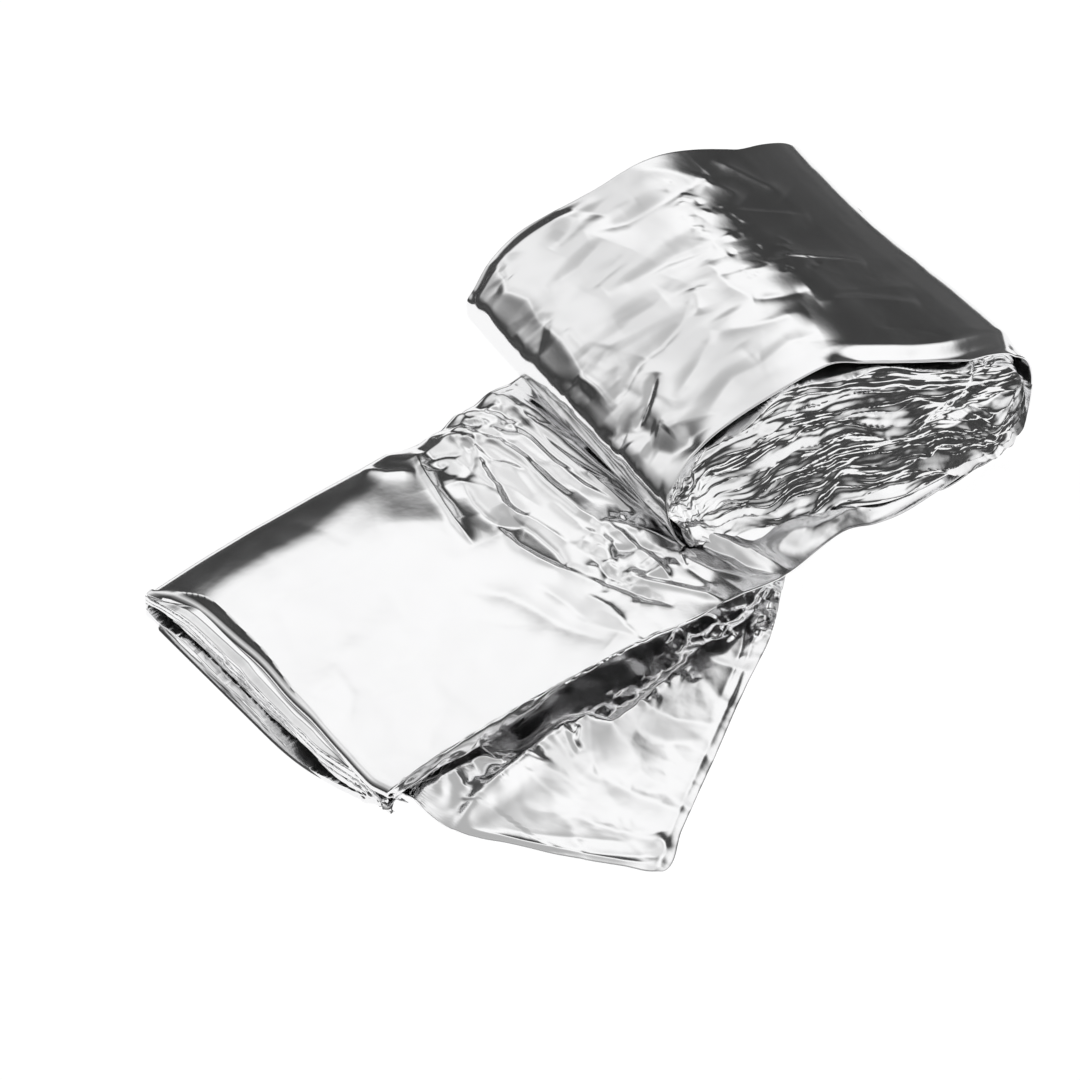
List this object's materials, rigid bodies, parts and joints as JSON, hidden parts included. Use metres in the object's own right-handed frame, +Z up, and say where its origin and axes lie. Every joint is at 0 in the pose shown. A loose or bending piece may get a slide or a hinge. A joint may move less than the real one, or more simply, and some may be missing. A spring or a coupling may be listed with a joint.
{
  "type": "emergency foil blanket",
  "caption": "Emergency foil blanket of thin silver film, folded lengthwise into a long ribbon and partly unwound: a flat strip with a fanned-out corner beneath it, running up to a flattened roll.",
  "frame": {"origin": "middle of the footprint, on the surface that the blanket lies on", "axes": "+X along the strip towards the roll, +Y to the back, away from the open side of the folds, +Z up"},
  "size_m": [0.2216, 0.1706, 0.0471],
  "materials": {
    "silver_film": "bright mirror-like metallised polyester film, finely creased"
  },
  "bodies": {
    "root": {"foil_blanket": "silver_film"}
  },
  "joints": []
}
